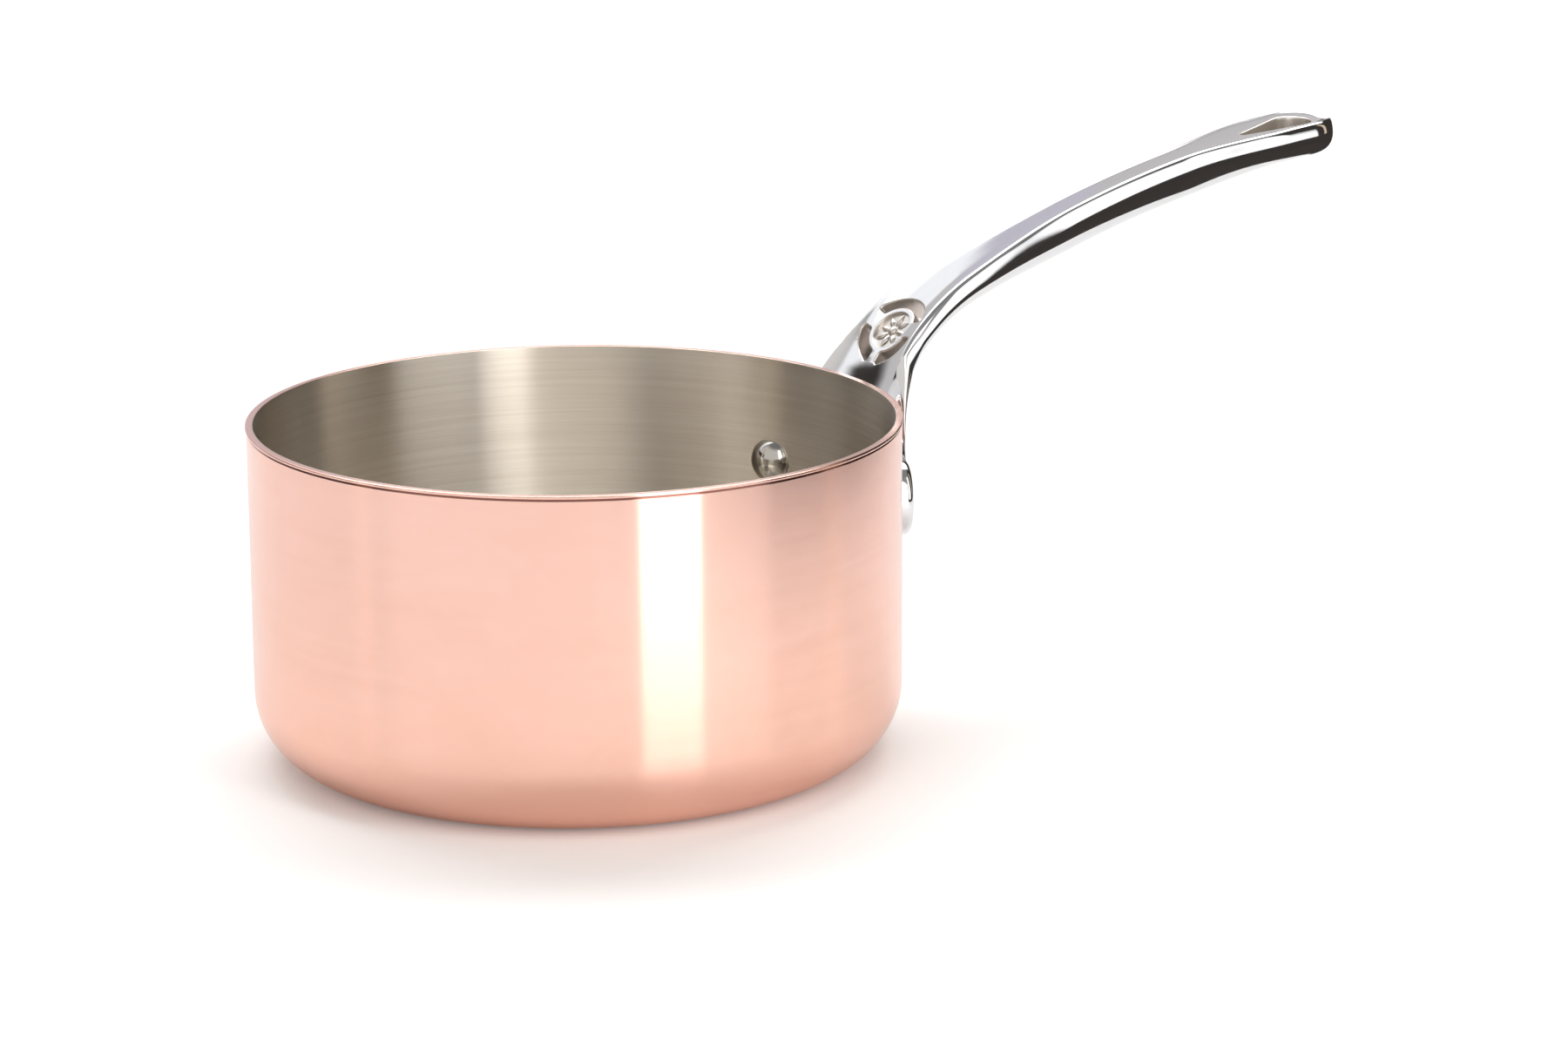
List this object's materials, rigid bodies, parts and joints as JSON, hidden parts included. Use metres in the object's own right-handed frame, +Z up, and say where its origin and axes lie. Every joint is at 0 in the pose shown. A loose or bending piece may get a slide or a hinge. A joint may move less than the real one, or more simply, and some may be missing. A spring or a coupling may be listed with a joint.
{
  "type": "copper saucepan",
  "caption": "Straight-sided copper saucepan lined with steel, with a long cast steel handle riveted to the wall and a hanging eye at its tip.",
  "frame": {"origin": "centre of the pan's flat underside, on the surface the pan stands on", "axes": "+Z up out of the pan's mouth, +X along the handle away from the pan, the XZ plane is the plane of symmetry"},
  "size_m": [0.3979, 0.2048, 0.1747],
  "materials": {
    "copper": "polished",
    "lining_steel": "brushed",
    "cast_steel": "polished",
    "rivet_steel": "polished"
  },
  "bodies": {
    "root": {"copper_shell": "copper", "steel_lining": "lining_steel", "handle": "cast_steel", "rivet_left": "rivet_steel", "rivet_right": "rivet_steel"}
  },
  "joints": []
}
